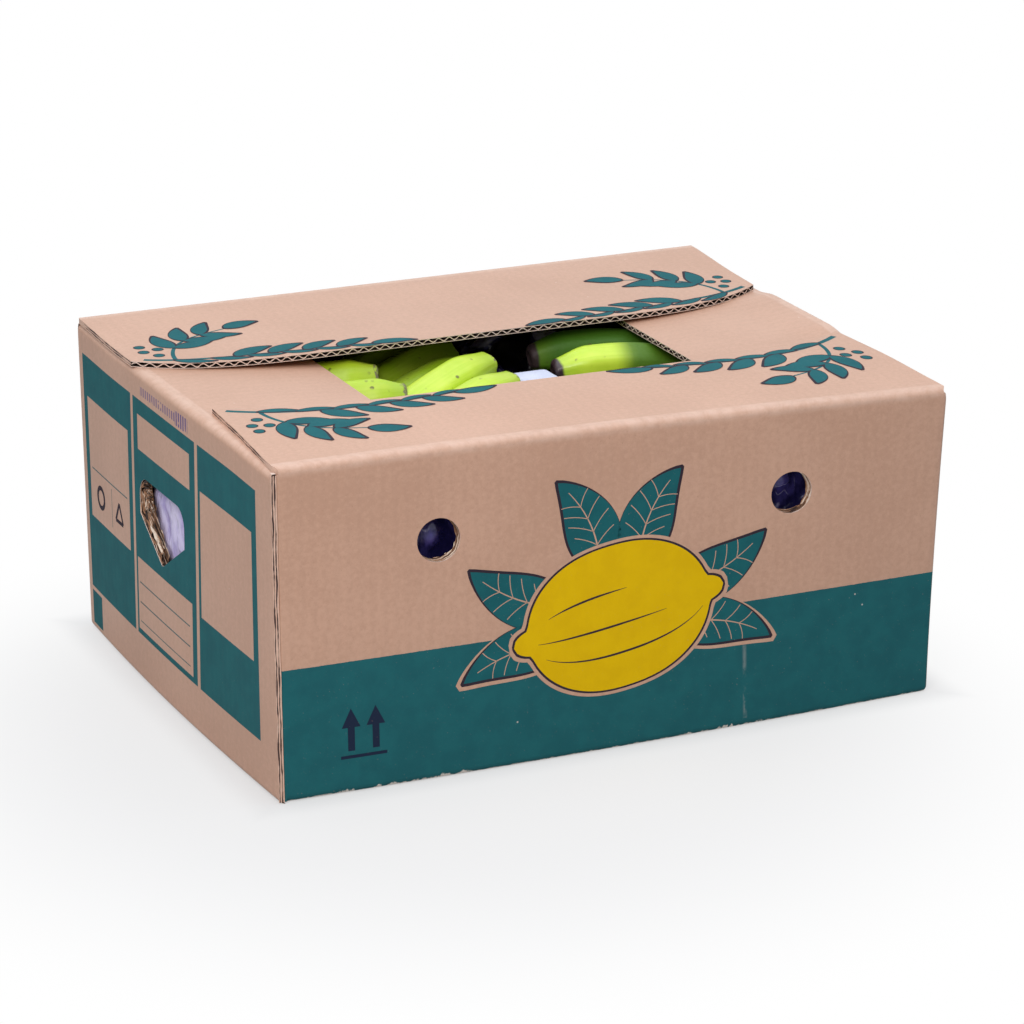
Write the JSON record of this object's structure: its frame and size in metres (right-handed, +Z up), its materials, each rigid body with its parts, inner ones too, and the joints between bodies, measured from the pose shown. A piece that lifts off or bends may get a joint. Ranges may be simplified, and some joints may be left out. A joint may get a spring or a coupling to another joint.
{
  "type": "fruit box",
  "caption": "Corrugated fruit carton with two opening top flaps, a top window, air holes and hand holes, packed with hands of green bananas in a liner bag.",
  "frame": {"origin": "middle of the carton's bottom face", "axes": "+X along the carton's length to the right, +Y from the front wall to the back wall, +Z up"},
  "size_m": [0.48, 0.364, 0.228],
  "materials": {
    "kraft_board": "matte",
    "liner_film": "glossy",
    "foam_sheet": "matte",
    "green_skin": "satin"
  },
  "bodies": {
    "carton": {"carton": "kraft_board", "liner_bag": "liner_film", "side_pad": "foam_sheet", "divider_pad": "foam_sheet", "hand_left_front_low": "green_skin", "hand_left_front_middle": "green_skin", "hand_left_front_high": "green_skin", "hand_left_back_low": "green_skin", "hand_left_back_middle": "green_skin", "hand_left_back_high": "green_skin", "hand_right_front_low": "green_skin", "hand_right_front_middle": "green_skin", "hand_right_front_high": "green_skin", "hand_right_back_low": "green_skin", "hand_right_back_middle": "green_skin", "hand_right_back_high": "green_skin", "hand_left_top": "green_skin", "hand_right_top": "green_skin"},
    "front_flap": {"front_flap": "kraft_board"},
    "back_flap": {"back_flap": "kraft_board"}
  },
  "joints": [
    {"name": "front_flap_fold", "type": "hinge", "parent": "carton", "child": "front_flap", "pos_m": [0, -0.182, 0.228], "axis": [1, 0, 0], "range_deg": [0, 240]},
    {"name": "back_flap_fold", "type": "hinge", "parent": "carton", "child": "back_flap", "pos_m": [0, 0.182, 0.228], "axis": [-1, 0, 0], "range_deg": [0, 240]}
  ]
}
